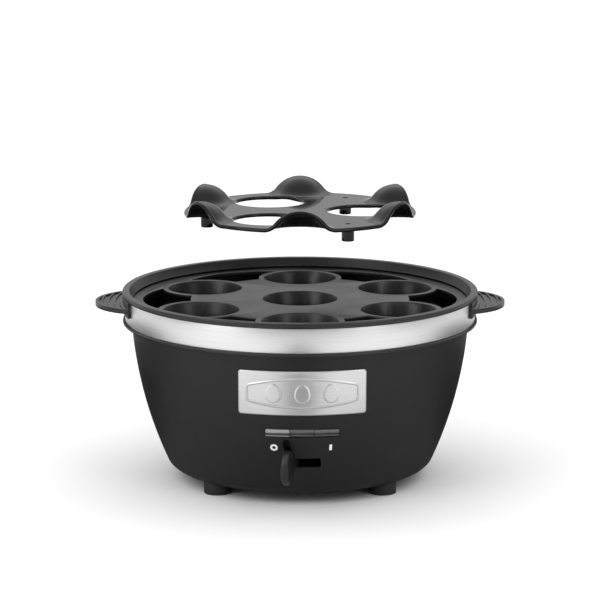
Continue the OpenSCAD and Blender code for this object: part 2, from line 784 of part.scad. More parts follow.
// Section through an arch, from its crown out to where it meets the plate.
function arch_line(n, t) = concat(
    [for (i = [0:n]) let (a = arch_angle * i / n)
        [(arch_r - t) * sin(a), arch_h - arch_r + (arch_r - t) * cos(a)]],
    [for (i = [1:n]) let (a = arch_angle * (1 - i / n))
        [arch_w - (arch_fillet_r + t) * sin(a), arch_fillet_r - (arch_fillet_r + t) * cos(a)]]);

module upper_tray() {
    color("#151517") translate([0, 0, upper_z1]) {
        difference() {
            union() {
                difference() {
                    translate([0, 0, -upper_t]) cylinder(h = upper_t, r = upper_r);
                    ring_of(seat_angles, seat_ring_r) translate([0, 0, -upper_t - cut])
                        cylinder(h = upper_t + 2 * cut, r = arch_w);
                }
                intersection() {
                    ring_of(seat_angles, seat_ring_r) rotate_extrude()
                        polygon(concat(arch_line(7, 0), reversed(arch_line(7, upper_t))));
                    translate([0, 0, -upper_t - cut]) cylinder(h = arch_h + 4, r = upper_r);
                }
            }
            ring_of(upper_angles, upper_ring_r) translate([0, 0, -upper_t - cut])
                cylinder(h = arch_h + 4, r = upper_seat_d / 2);
            ring_of(peg_angles, peg_ring_r) translate([0, 0, -0.4]) cylinder(h = cut, r = 1.25);
        }
        ring_of(peg_angles, peg_ring_r) translate([0, 0, -upper_t - peg_h])
            cylinder(h = peg_h + 0.1, r = peg_r);
    }
}

base_shell();
collar_ring();
steel_band();
heating_dish();
dish_seal();
heating_element();
element_terminals();
heat_shield();
dish_studs();
stud_nuts();
thermostat();
thermostat_clip();
thermal_fuse();
base_cover();
cover_screws();
rubber_feet();
nameplate();
light_lens();
indicator_lamp();
circuit_board();
board_screws();
buzzer();
switch_marks();
switch_bracket();
bracket_screws();
switch_body();
switch_slider();
switch_lever();
lever_pin();
terminal_block();
cord_gland();
cord_clamp();
live_wire();
neutral_wire();
switch_wire();
tray_rim();
tray_handles();
seat_plate();
upper_tray();
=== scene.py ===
"""Looks for a round electric egg cooker: bowl base, steel band, two egg trays and a lever switch."""
import json
import math

import bpy
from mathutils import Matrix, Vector

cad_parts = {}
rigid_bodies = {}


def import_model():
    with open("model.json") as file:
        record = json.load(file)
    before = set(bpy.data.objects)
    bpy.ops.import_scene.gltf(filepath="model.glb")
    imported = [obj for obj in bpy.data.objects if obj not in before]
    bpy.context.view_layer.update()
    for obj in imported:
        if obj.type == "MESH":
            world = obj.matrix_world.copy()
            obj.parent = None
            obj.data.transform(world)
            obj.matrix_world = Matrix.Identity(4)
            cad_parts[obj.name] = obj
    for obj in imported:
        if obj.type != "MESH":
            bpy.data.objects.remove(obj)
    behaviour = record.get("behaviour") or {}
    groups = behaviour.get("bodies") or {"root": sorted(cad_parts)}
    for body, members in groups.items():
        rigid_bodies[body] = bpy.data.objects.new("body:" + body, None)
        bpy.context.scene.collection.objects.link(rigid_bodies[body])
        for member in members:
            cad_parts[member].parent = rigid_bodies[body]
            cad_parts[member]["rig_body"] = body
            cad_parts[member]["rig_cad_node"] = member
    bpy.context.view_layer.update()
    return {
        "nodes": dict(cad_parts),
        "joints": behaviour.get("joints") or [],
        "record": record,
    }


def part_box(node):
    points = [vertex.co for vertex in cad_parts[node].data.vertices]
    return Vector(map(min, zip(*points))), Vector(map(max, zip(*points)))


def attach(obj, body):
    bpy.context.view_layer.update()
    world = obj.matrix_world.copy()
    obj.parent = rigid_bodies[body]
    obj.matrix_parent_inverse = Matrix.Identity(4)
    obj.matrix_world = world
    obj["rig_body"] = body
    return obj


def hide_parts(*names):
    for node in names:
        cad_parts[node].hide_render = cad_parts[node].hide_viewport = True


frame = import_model()

MM = 0.001
ROUND = 192            # segments round the body
BODY_BULGE_R = 185.0   # long curve of the body's side, seen in section
BODY_LEAN = math.radians(4.0)
CORNER_R = 3.5         # round bottom corner of the bowl
WALL = 2.2


def node_box(name):
    """Lowest and highest corner of a CAD node, in millimetres."""
    low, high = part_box(name)
    return low / MM, high / MM


SHELL_LOW, SHELL_HIGH = node_box("base_shell")
BAND_LOW, BAND_HIGH = node_box("steel_band")
COLLAR_LOW, COLLAR_HIGH = node_box("collar_ring")
RIM_LOW, RIM_HIGH = node_box("tray_rim")
UPPER_HIGH = node_box("upper_tray")[1]
PLATE_LOW, PLATE_HIGH = node_box("nameplate")
LENS_LOW, LENS_HIGH = node_box("light_lens")
FEET_HIGH = node_box("rubber_feet")[1]
COVER_HIGH = node_box("base_cover")[1]
GLAND_LOW, GLAND_HIGH = node_box("cord_gland")

BODY_Z0 = SHELL_LOW.z
BODY_Z1 = SHELL_HIGH.z
BODY_TOP_R = SHELL_HIGH.x
SIDE_CX = BODY_TOP_R - BODY_BULGE_R * math.cos(BODY_LEAN)
SIDE_CZ = BODY_Z1 + BODY_BULGE_R * math.sin(BODY_LEAN)
COVER_R = COVER_HIGH.x
BAND_R = BAND_HIGH.x
LIP_R = RIM_HIGH.x
FRONT_X = (PLATE_LOW.x + PLATE_HIGH.x) / 2
SLOT_Z = 21.0
SLOT_W = 16.1
SLOT_H = 4.4
SLOT_CORNER_R = 0.6
LEG_LEAN = math.radians(12)   # the slot's rising leg leans to the left
LEG_RISE = 10.2
LEG_HALF_W = 1.45
LEG_FOOT = 3.2                # from the slot's left end to the foot of the leg
LAMP_Z = (LENS_LOW.z + LENS_HIGH.z) / 2
LAMP_W = 32.0
LAMP_H = 3.7


def side_r(z):
    return SIDE_CX + math.sqrt(BODY_BULGE_R ** 2 - (z - SIDE_CZ) ** 2)


def body_r(z):
    """Outer radius of the bowl at a height, with its round bottom corner."""
    rise = min(max(z - BODY_Z0, 0.0), CORNER_R)
    return side_r(z) - CORNER_R + math.sqrt(CORNER_R ** 2 - (CORNER_R - rise) ** 2)


# ---------------------------------------------------------------- modelling helpers

def deselect():
    if bpy.context.object and bpy.context.object.mode != "OBJECT":
        bpy.ops.object.mode_set(mode="OBJECT")
    bpy.ops.object.select_all(action="DESELECT")


def only(piece):
    deselect()
    piece.select_set(True)
    bpy.context.view_layer.objects.active = piece


def edit(piece):
    only(piece)
    bpy.ops.object.mode_set(mode="EDIT")


def done(piece):
    bpy.ops.object.mode_set(mode="OBJECT")
    return piece


def named(name):
    piece = bpy.context.object
    piece.name = name
    piece.data.name = name
    return piece


def settle(piece):
    """Puts a piece's place, turn and scale into its mesh."""
    only(piece)
    bpy.ops.object.transform_apply(location=True, rotation=True, scale=True)
    return piece


def outward(piece):
    edit(piece)
    bpy.ops.mesh.select_all(action="SELECT")
    bpy.ops.mesh.remove_doubles(threshold=0.002 * MM)
    bpy.ops.mesh.normals_make_consistent(inside=False)
    return done(piece)


def trace(name, points):
    """A single edge line through 3-D points in millimetres, grown from one vertex by extrusion."""
    deselect()
    bpy.ops.mesh.primitive_plane_add(size=MM, location=(0, 0, 0))
    piece = named(name)
    bpy.ops.object.mode_set(mode="EDIT")
    bpy.ops.mesh.select_mode(type="VERT")
    bpy.ops.mesh.select_all(action="SELECT")
    bpy.ops.mesh.merge(type="CENTER")
    here = Vector((0, 0, 0))
    first = Vector(points[0]) * MM
    bpy.ops.transform.translate(value=first - here)
    here = first
    for point in points[1:]:
        there = Vector(point) * MM
        bpy.ops.mesh.extrude_region_move(TRANSFORM_OT_translate={"value": there - here})
        here = there
    return piece


def lathe(name, outline, closed=True, steps=ROUND):
    """Spins an outline of (radius, height) points round the upright axis."""
    loop = outline + [outline[0]] if closed else outline
    piece = trace(name, [(r, 0, z) for r, z in loop])
    bpy.ops.mesh.select_all(action="SELECT")
    bpy.ops.mesh.spin(steps=steps, angle=2 * math.pi, center=(0, 0, 0), axis=(0, 0, 1))
    done(piece)
    return outward(piece)


def slab(name, outline, y0, y1):
    """A flat outline of (x, z) points, extruded along Y."""
    piece = trace(name, [(x, y0, z) for x, z in outline])
    bpy.ops.mesh.select_all(action="SELECT")
    bpy.ops.mesh.edge_face_add()
    bpy.ops.mesh.extrude_region_move(TRANSFORM_OT_translate={"value": (0, (y1 - y0) * MM, 0)})
    done(piece)
    return outward(piece)


def arc(cx, cz, r, a0, a1, n):
    """Points of an arc, from angle a0 to a1 in degrees."""
    turn = [math.radians(a0 + (a1 - a0) * i / n) for i in range(n + 1)]
    return [(cx + r * math.cos(t), cz + r * math.sin(t)) for t in turn]


def round_box(cx, cz, w, h, r, n=6):
    """Outline of a rectangle with round corners."""
    points = []
    for sx, sz, a in ((1, 1, 0), (-1, 1, 90), (-1, -1, 180), (1, -1, 270)):
        points += arc(cx + sx * (w / 2 - r), cz + sz * (h / 2 - r), r, a, a + 90, n)
    return points


def cylinder(name, x, y, z, r, h, verts=48, axis="Z"):
    """A cylinder centred at a place in millimetres, lying along X, Y or Z."""
    deselect()
    turn = {"X": (0, math.pi / 2, 0), "Y": (math.pi / 2, 0, 0), "Z": (0, 0, 0)}[axis]
    bpy.ops.mesh.primitive_cylinder_add(vertices=verts, radius=r * MM, depth=h * MM,
                                        location=(x * MM, y * MM, z * MM), rotation=turn)
    return settle(named(name))


def block(name, low, high):
    """A box between two corners in millimetres."""
    deselect()
    mid = [(a + b) / 2 * MM for a, b in zip(low, high)]
    bpy.ops.mesh.primitive_cube_add(size=1, location=mid)
    piece = named(name)
    piece.scale = [(b - a) * MM for a, b in zip(low, high)]
    return settle(piece)


def join(name, pieces):
    only(pieces[0])
    for piece in pieces[1:]:
        piece.select_set(True)
    bpy.ops.object.join()
    return named(name)


def carve(piece, tool, how="DIFFERENCE"):
    """Cuts a piece with a tool, or keeps what both hold, and removes the tool."""
    only(piece)
    cut = piece.modifiers.new("carve", "BOOLEAN")
    cut.operation = how
    cut.solver = "MANIFOLD"
    cut.object = tool
    bpy.ops.object.modifier_apply(modifier=cut.name)
    bpy.data.objects.remove(tool)
    return piece


def fuse(pieces):
    """Unites overlapping closed pieces into the first one."""
    for piece in pieces[1:]:
        carve(pieces[0], piece, "UNION")
    return pieces[0]


def thicken(piece, thickness, side, even=False):
    """Gives a sheet its thickness, on the side that its faces point to (1) or behind it (-1)."""
    only(piece)
    thick = piece.modifiers.new("thickness", "SOLIDIFY")
    thick.thickness = thickness * MM
    thick.offset = side
    thick.use_even_offset = even
    bpy.ops.object.modifier_apply(modifier=thick.name)
    return piece


def soften(piece, width, segments=2, angle=35.0):
    """Rounds a piece's sharp edges and smooths the rest."""
    only(piece)
    bevel = piece.modifiers.new("soften", "BEVEL")
    bevel.width = width * MM
    bevel.segments = segments
    bevel.limit_method = "ANGLE"
    bevel.angle_limit = math.radians(angle)
    bevel.harden_normals = False
    bevel.miter_outer = "MITER_ARC"
    bpy.ops.object.modifier_apply(modifier=bevel.name)
    return smooth(piece)


def smooth(piece, angle=32.0):
    only(piece)
    bpy.ops.object.shade_smooth_by_angle(angle=math.radians(angle))
    return piece


def moulded_copy(node, width, segments=2, angle=35.0):
    """A merged copy of a CAD node with its edges rounded."""
    piece = frame["nodes"][node].copy()
    piece.data = frame["nodes"][node].data.copy()
    bpy.context.scene.collection.objects.link(piece)
    piece.parent = None
    piece.name = node + "_moulded"
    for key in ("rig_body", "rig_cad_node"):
        if key in piece:
            del piece[key]
    piece.data.materials.clear()
    edit(piece)
    bpy.ops.mesh.select_all(action="SELECT")
    bpy.ops.mesh.remove_doubles(threshold=0.004 * MM)
    bpy.ops.mesh.dissolve_limited(angle_limit=math.radians(1.0))
    done(piece)
    if piece.data.has_custom_normals:
        bpy.ops.mesh.customdata_custom_splitnormals_clear()
    return soften(piece, width, segments, angle)


def place(piece, body, slot, material, *nodes):
    """Gives a finished piece its material and its body, and hides the CAD nodes it stands for."""
    piece.data.materials.clear()
    piece.data.materials.append(material)
    for face in piece.data.polygons:
        face.material_index = 0
    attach(piece, body)
    if nodes:
        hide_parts(*nodes)
    return piece


# ---------------------------------------------------------------- shader groups

def group(name, inputs, outputs):
    """A node group with float inputs (name, default) and typed outputs."""
    tree = bpy.data.node_groups.new(name, "ShaderNodeTree")
    for label, value in inputs:
        socket = tree.interface.new_socket(label, in_out="INPUT", socket_type="NodeSocketFloat")
        socket.default_value = value
    for label, kind in outputs:
        tree.interface.new_socket(label, in_out="OUTPUT", socket_type=kind)
    return tree, tree.nodes.new("NodeGroupInput"), tree.nodes.new("NodeGroupOutput")


def math_node(tree, how, a, b=None, clamp=False):
    node = tree.nodes.new("ShaderNodeMath")
    node.operation = how
    node.use_clamp = clamp
    for socket, value in zip(node.inputs, (a, b)):
        if value is None:
            continue
        if isinstance(value, (int, float)):
            socket.default_value = value
        else:
            tree.links.new(value, socket)
    return node.outputs[0]


def object_coords(tree):
    return tree.nodes.new("ShaderNodeTexCoord").outputs["Object"]


def noise(tree, vector, scale, detail=3.0, rough=0.55):
    node = tree.nodes.new("ShaderNodeTexNoise")
    tree.links.new(vector, node.inputs["Vector"])
    if isinstance(scale, (int, float)):
        node.inputs["Scale"].default_value = scale
    else:
        tree.links.new(scale, node.inputs["Scale"])
    node.inputs["Detail"].default_value = detail
    node.inputs["Roughness"].default_value = rough
    return node.outputs["Fac"]


def stretched(tree, vector, scale):
    node = tree.nodes.new("ShaderNodeMapping")
    node.inputs["Scale"].default_value = scale
    tree.links.new(vector, node.inputs["Vector"])
    return node.outputs[0]


def remap(tree, value, low, high, to_low, to_high):
    node = tree.nodes.new("ShaderNodeMapRange")
    tree.links.new(value, node.inputs["Value"])
    for label, number in (("From Min", low), ("From Max", high), ("To Min", to_low),
                          ("To Max", to_high)):
        node.inputs[label].default_value = number
    return node.outputs[0]


def grain_group():
    """Spark-eroded mould texture: a fine even pit, with a slow drift of the sheen."""
    tree, start, end = group("moulded_grain", [("Pits per mm", 2.6)],
                             [("Height", "NodeSocketFloat"), ("Sheen drift", "NodeSocketFloat")])
    coords = object_coords(tree)
    scale = math_node(tree, "MULTIPLY", start.outputs[0], 1 / MM)
    pits = noise(tree, coords, scale, 2.0, 0.6)
    coarse = noise(tree, coords, math_node(tree, "MULTIPLY", scale, 0.35), 1.0)
    tree.links.new(math_node(tree, "ADD", pits, math_node(tree, "MULTIPLY", coarse, 0.6)),
                   end.inputs[0])
    drift = noise(tree, coords, 38.0, 3.0)
    tree.links.new(drift, end.inputs[1])
    return tree


def brushed_group():
    """Long fine scratches that run across the surface, level with the ground."""
    tree, start, end = group("brushed_lines", [("Lines per mm", 9.0)],
                             [("Height", "NodeSocketFloat"), ("Tone", "NodeSocketFloat")])
    coords = object_coords(tree)
    fine = stretched(tree, coords, (0.02, 0.02, 1.0))
    scale = math_node(tree, "MULTIPLY", start.outputs[0], 1 / MM)
    lines = noise(tree, fine, scale, 3.0, 0.7)
    wide = noise(tree, fine, math_node(tree, "MULTIPLY", scale, 0.22), 2.0, 0.6)
    tree.links.new(math_node(tree, "ADD", lines, math_node(tree, "MULTIPLY", wide, 0.5)),
                   end.inputs[0])
    tree.links.new(math_node(tree, "MULTIPLY", math_node(tree, "ADD", lines, wide), 0.5),
                   end.inputs[1])
    return tree


def wear_group():
    """Where edges are rubbed: the crisp outer corners, broken up by noise."""
    tree, start, end = group("edge_wear", [("Reach", 0.06)], [("Mask", "NodeSocketFloat")])
    corner = tree.nodes.new("ShaderNodeNewGeometry").outputs["Pointiness"]
    above = math_node(tree, "SUBTRACT", corner, 0.5)
    level = math_node(tree, "DIVIDE", above, start.outputs[0], clamp=True)
    broken = remap(tree, noise(tree, object_coords(tree), 420.0, 4.0), 0.35, 0.7, 0.0, 1.0)
    tree.links.new(math_node(tree, "MULTIPLY", level, broken), end.inputs[0])
    return tree


def dust_group():
    """Sparse specks of dust and lint that settle on upward faces."""
    tree, start, end = group("settled_dust", [("Amount", 0.3)], [("Mask", "NodeSocketFloat")])
    normal = tree.nodes.new("ShaderNodeNewGeometry").outputs["Normal"]
    split = tree.nodes.new("ShaderNodeSeparateXYZ")
    tree.links.new(normal, split.inputs[0])
    up = remap(tree, split.outputs["Z"], 0.2, 0.95, 0.15, 1.0)
    specks = tree.nodes.new("ShaderNodeTexVoronoi")
    specks.inputs["Scale"].default_value = 520.0
    tree.links.new(object_coords(tree), specks.inputs["Vector"])
    near = remap(tree, specks.outputs["Distance"], 0.04, 0.10, 1.0, 0.0)
    rare = remap(tree, noise(tree, object_coords(tree), 260.0, 1.0), 0.60, 0.66, 0.0, 1.0)
    mask = math_node(tree, "MULTIPLY", math_node(tree, "MULTIPLY", near, rare), up)
    tree.links.new(math_node(tree, "MULTIPLY", mask, start.outputs[0]), end.inputs[0])
    return tree


GRAIN = grain_group()
BRUSHED = brushed_group()
WEAR = wear_group()
DUST = dust_group()


# ---------------------------------------------------------------- materials

def new_material(name):
    material = bpy.data.materials.new(name)
    material.use_nodes = True
    tree = material.node_tree
    return material, tree, tree.nodes["Principled BSDF"]


def use_group(tree, which, value):
    node = tree.nodes.new("ShaderNodeGroup")
    node.node_tree = which
    node.inputs[0].default_value = value
    return node


def bump(tree, shader, height, strength, distance):
    node = tree.nodes.new("ShaderNodeBump")
    node.inputs["Strength"].default_value = strength
    node.inputs["Distance"].default_value = distance * MM
    tree.links.new(height, node.inputs["Height"])
    tree.links.new(node.outputs["Normal"], shader.inputs["Normal"])


def blend_colour(tree, mask, low, high):
    node = tree.nodes.new("ShaderNodeMix")
    node.data_type = "RGBA"
    node.inputs["A"].default_value = (*low, 1)
    node.inputs["B"].default_value = (*high, 1)
    tree.links.new(mask, node.inputs["Factor"])
    return node.outputs["Result"]


SHEEN_SPREAD = 0.06
DUST_COLOUR = (0.42, 0.41, 0.39, 1)


def plastic(name, colour, rough, pits=2.6, depth=0.012, wear=0.3, dust=0.3, ior=1.46):
    """Moulded plastic: grained, with a drifting sheen, rubbed edges and a little dust."""
    material, tree, shader = new_material(name)
    grain = use_group(tree, GRAIN, pits)
    edge = use_group(tree, WEAR, 0.07)
    specks = use_group(tree, DUST, dust)
    rubbed = tuple(min(1, c * 2.0 + 0.006) for c in colour)
    shader.inputs["IOR"].default_value = ior
    lifted = math_node(tree, "MULTIPLY", edge.outputs[0], wear)
    drifted = math_node(tree, "MULTIPLY", grain.outputs["Sheen drift"], 0.35)
    mask = math_node(tree, "ADD", lifted, drifted, clamp=True)
    base = blend_colour(tree, mask, colour, rubbed)
    dusty = tree.nodes.new("ShaderNodeMix")
    dusty.data_type = "RGBA"
    tree.links.new(specks.outputs[0], dusty.inputs["Factor"])
    tree.links.new(base, dusty.inputs["A"])
    dusty.inputs["B"].default_value = DUST_COLOUR
    tree.links.new(dusty.outputs["Result"], shader.inputs["Base Color"])
    sheen = remap(tree, grain.outputs["Sheen drift"], 0.3, 0.7, rough - SHEEN_SPREAD,
                  rough + SHEEN_SPREAD)
    tree.links.new(sheen, shader.inputs["Roughness"])
    bump(tree, shader, grain.outputs["Height"], 0.35, depth)
    return material


def brushed_steel(name, colour, rough, lines=9.0, depth=0.01):
    """Stainless steel with long level scratches."""
    material, tree, shader = new_material(name)
    shader.inputs["Metallic"].default_value = 1.0
    brush = use_group(tree, BRUSHED, lines)
    tone = remap(tree, brush.outputs["Tone"], 0.3, 0.7, 0.0, 1.0)
    dark = tuple(c * 0.86 for c in colour)
    tree.links.new(blend_colour(tree, tone, dark, colour), shader.inputs["Base Color"])
    smudge = noise(tree, object_coords(tree), 55.0, 3.0)
    level = math_node(tree, "MULTIPLY", brush.outputs["Tone"], 0.22)
    base = remap(tree, smudge, 0.3, 0.7, rough - 0.13, rough - 0.07)
    tree.links.new(math_node(tree, "ADD", base, level), shader.inputs["Roughness"])
    bump(tree, shader, brush.outputs["Height"], 0.22, depth)
    return material


def plain_metal(name, colour, rough):
    """Sheet or turned metal inside the body, with faint rolling marks and stains."""
    material, tree, shader = new_material(name)
    shader.inputs["Metallic"].default_value = 1.0
    stain = noise(tree, object_coords(tree), 120.0, 4.0)
    dark = tuple(c * 0.7 for c in colour)
    tree.links.new(blend_colour(tree, stain, dark, colour), shader.inputs["Base Color"])
    tree.links.new(remap(tree, stain, 0.3, 0.7, rough - 0.08, rough + 0.1),
                   shader.inputs["Roughness"])
    bump(tree, shader, noise(tree, object_coords(tree), 900.0, 2.0), 0.15, 0.02)
    return material


def rubbery(name, colour, rough=0.72):
    material, tree, shader = new_material(name)
    grain = use_group(tree, GRAIN, 3.4)
    light = tuple(c * 1.9 + 0.004 for c in colour)
    tree.links.new(blend_colour(tree, grain.outputs["Sheen drift"], colour, light),
                   shader.inputs["Base Color"])
    tree.links.new(remap(tree, grain.outputs["Sheen drift"], 0.3, 0.7, rough - 0.07, rough + 0.07),
                   shader.inputs["Roughness"])
    bump(tree, shader, grain.outputs["Height"], 0.5, 0.02)
    return material


def glossy_black():
    """Polished black plastic with faint handling smears."""
    material, tree, shader = new_material("upper_tray_gloss")
    shader.inputs["IOR"].default_value = 1.42
    shader.inputs["Specular IOR Level"].default_value = 0.32
    smear = noise(tree, stretched(tree, object_coords(tree), (1.0, 1.6, 0.7)), 60.0, 4.0, 0.6)
    tree.links.new(blend_colour(tree, smear, (0.0035, 0.0035, 0.004), (0.007, 0.007, 0.008)),
                   shader.inputs["Base Color"])
    tree.links.new(remap(tree, smear, 0.35, 0.75, 0.04, 0.09), shader.inputs["Roughness"])
    bump(tree, shader, noise(tree, object_coords(tree), 140.0, 2.0), 0.05, 0.05)
    return material


def lens_plastic():
    """Clear plastic over a dark inside, with its look painted into its colour: pale painted
    highlights along its top and bottom edges, strongest on the left length, and painted shade in a
    dark band between them.
    """
    material, tree, shader = new_material("lamp_window")
    coords = object_coords(tree)
    split = tree.nodes.new("ShaderNodeSeparateXYZ")
    tree.links.new(coords, split.inputs[0])
    cloud = noise(tree, stretched(tree, coords, (0.35, 1.0, 3.0)), 500.0, 3.0)
    height = remap(tree, split.outputs["Z"], (LAMP_Z - 1.9) * MM, (LAMP_Z + 1.9) * MM, -1.0, 1.0)
    wavy = math_node(tree, "ADD", height, math_node(tree, "MULTIPLY", cloud, 0.5))
    # painted highlight: pale where the height leaves the middle towards the top and bottom edges;
    # painted shade stays dark in the middle band
    painted_edge_highlight = remap(tree, math_node(tree, "ABSOLUTE", wavy), 0.10, 0.55, 0.0, 1.0)
    # the painted highlight is full on the left length, left of FRONT_X - 6 mm, and at 35 per cent to
    # its right
    side = remap(tree, split.outputs["X"], (FRONT_X - 5.4) * MM, (FRONT_X - 6.0) * MM, 0.35, 1.0)
    mask = math_node(tree, "MULTIPLY", painted_edge_highlight, side)
    # the colour blends from painted shade (dark) to painted highlight (pale)
    tree.links.new(blend_colour(tree, mask, (0.02, 0.02, 0.022), (0.42, 0.42, 0.43)),
                   shader.inputs["Base Color"])
    tree.links.new(remap(tree, cloud, 0.3, 0.7, 0.08, 0.2), shader.inputs["Roughness"])
    shader.inputs["Transmission Weight"].default_value = 0.25
    shader.inputs["IOR"].default_value = 1.5
    return material


def coated_dish():
    """Grey release coating with fine flecks and a pale mineral ring from boiled water."""
    material, tree, shader = new_material("dish_release_coating")
    coords = object_coords(tree)
    fleck = remap(tree, noise(tree, coords, 2600.0, 1.0), 0.62, 0.7, 0.0, 1.0)
    base = blend_colour(tree, fleck, (0.085, 0.085, 0.09), (0.32, 0.32, 0.33))
    scale = remap(tree, noise(tree, coords, 70.0, 5.0), 0.55, 0.72, 0.0, 0.35)
    chalk = tree.nodes.new("ShaderNodeMix")
    chalk.data_type = "RGBA"
    tree.links.new(scale, chalk.inputs["Factor"])
    tree.links.new(base, chalk.inputs["A"])
    chalk.inputs["B"].default_value = (0.48, 0.46, 0.43, 1)
    tree.links.new(chalk.outputs["Result"], shader.inputs["Base Color"])
    tree.links.new(remap(tree, scale, 0.0, 0.35, 0.32, 0.6), shader.inputs["Roughness"])
    shader.inputs["Metallic"].default_value = 0.2
    bump(tree, shader, noise(tree, coords, 1300.0, 2.0), 0.2, 0.02)
    return material


def board_laminate():
    """Black solder mask with paler copper tracks under it."""
    material, tree, shader = new_material("board_solder_mask")
    tracks = tree.nodes.new("ShaderNodeTexBrick")
    tree.links.new(object_coords(tree), tracks.inputs["Vector"])
    tracks.inputs["Scale"].default_value = 260.0
    tracks.inputs["Mortar Size"].default_value = 0.06
    tracks.inputs["Color1"].default_value = (0.006, 0.007, 0.007, 1)
    tracks.inputs["Color2"].default_value = (0.008, 0.009, 0.009, 1)
    tracks.inputs["Mortar"].default_value = (0.035, 0.030, 0.022, 1)
    tree.links.new(tracks.outputs["Color"], shader.inputs["Base Color"])
    tree.links.new(remap(tree, tracks.outputs["Fac"], 0, 1, 0.28, 0.4), shader.inputs["Roughness"])
    bump(tree, shader, tracks.outputs["Fac"], 0.4, 0.05)
    return material


BLACK = (0.008, 0.008, 0.0085)
MATERIALS = {
    "body_plastic": plastic("body_matte_black", (0.0055, 0.0055, 0.006), 0.50, ior=1.40),
    "collar_plastic": plastic("collar_satin_black", (0.006, 0.006, 0.0065), 0.40, 3.2, 0.008),
    "band_steel": brushed_steel("band_brushed", (0.80, 0.80, 0.80), 0.36),
    "dish_coating": coated_dish(),
    "seal_silicone": rubbery("seal_red_silicone", (0.30, 0.05, 0.03), 0.5),
    "element_sheath": plain_metal("element_sheath_steel", (0.30, 0.27, 0.25), 0.45),
    "ceramic": plastic("glazed_ceramic", (0.62, 0.59, 0.52), 0.25, 3.0, 0.004, 0.1, 0.1),
    "shield_sheet": plain_metal("shield_aluminium", (0.66, 0.66, 0.68), 0.34),
    "fastener_steel": plain_metal("zinc_plated_steel", (0.60, 0.60, 0.62), 0.32),
    "thermostat_case": plastic("phenolic_case", (0.02, 0.018, 0.017), 0.42, 2.0),
    "cover_plastic": plastic("underside_black", BLACK, 0.55, 1.8, 0.02),
    "foot_rubber": rubbery("foot_black_rubber", (0.009, 0.009, 0.009)),
    "plate_steel": brushed_steel("front_plate_brushed", (0.74, 0.74, 0.74), 0.38, 7.0, 0.012),
    "clear_lens": lens_plastic(),
    "lamp_resin": plastic("lamp_resin_milky", (0.70, 0.68, 0.60), 0.2, 3.0, 0.003, 0.1, 0.0),
    "board_laminate": board_laminate(),
    "mark_white": plastic("mark_white_print", (0.86, 0.86, 0.85), 0.5, 3.0, 0.004, 0.0, 0.0),
    "bracket_plastic": plastic("bracket_dark_grey", (0.04, 0.04, 0.045), 0.5),
    "slider_plastic": plastic("black_nylon", (0.012, 0.012, 0.012), 0.42, 2.4, 0.01, 0.1, 0.1),
    "lever_plastic": plastic("lever_satin_black", (0.009, 0.009, 0.0095), 0.36, 3.2, 0.006),
    "gland_rubber": rubbery("gland_black_rubber", (0.010, 0.010, 0.010)),
    "wire_brown": rubbery("wire_brown_sleeve", (0.16, 0.06, 0.02), 0.45),
    "wire_blue": rubbery("wire_blue_sleeve", (0.03, 0.10, 0.30), 0.45),
    "wire_grey": rubbery("wire_grey_sleeve", (0.06, 0.06, 0.06), 0.45),
    "tray_plastic": plastic("tray_satin_black", (0.0075, 0.0075, 0.0085), 0.36, 3.0, 0.006),
    "upper_plastic": glossy_black(),
}


def dress_cad_nodes():
    """Every CAD node that stays in sight gets its slot's material."""
    for part in frame["record"]["subparts"]:
        node = frame["nodes"][part["node"]]
        node.data.materials.clear()
        node.data.materials.append(MATERIALS[part["material_slot"]])


# ---------------------------------------------------------------- camera, light and floor

LENS = 161.6
EYE = (0.0, -1.2, 0.3189)
EYE_PITCH = math.radians(11.25)
LIGHT_AIM = Vector((0, 0, 0.07))
ROOM_FRONT = 0.14      # brightness of the room in front and below
ROOM_BACK = 0.50       # what the back wall adds
ROOM_TOP = 1.22        # brightness overhead


def camera():
    data = bpy.data.cameras.new("view")
    eye = bpy.data.objects.new("view", data)
    bpy.context.scene.collection.objects.link(eye)
    data.sensor_width = 36.0
    data.lens = LENS
    data.clip_end = 20.0
    eye.location = EYE
    eye.rotation_euler = (math.pi / 2 - EYE_PITCH, 0, 0)
    bpy.context.scene.camera = eye


def lamp(name, place_at, size, power):
    """A soft rectangular light that faces the middle of the cooker."""
    data = bpy.data.lights.new(name, "AREA")
    data.shape = "RECTANGLE"
    data.size, data.size_y = size
    data.energy = power
    light = bpy.data.objects.new(name, data)
    bpy.context.scene.collection.objects.link(light)
    light.location = place_at
    run = LIGHT_AIM - Vector(place_at)
    light.rotation_euler = run.to_track_quat("-Z", "Y").to_euler()


def white_room():
    """A room that is bright behind and above, and dim in front, where the camera stands."""
    world = bpy.data.worlds.new("white_room")
    bpy.context.scene.world = world
    world.use_nodes = True
    tree = world.node_tree
    shader = tree.nodes["Background"]
    split = tree.nodes.new("ShaderNodeSeparateXYZ")
    tree.links.new(tree.nodes.new("ShaderNodeTexCoord").outputs["Generated"], split.inputs[0])
    back = remap(tree, split.outputs["Y"], -0.1, 0.6, 0.0, ROOM_BACK)
    above = remap(tree, split.outputs["Z"], 0.33, 0.6, ROOM_FRONT, ROOM_TOP)
    tree.links.new(math_node(tree, "ADD", back, above), shader.inputs["Strength"])
    shader.inputs["Color"].default_value = (1, 1, 1, 1)


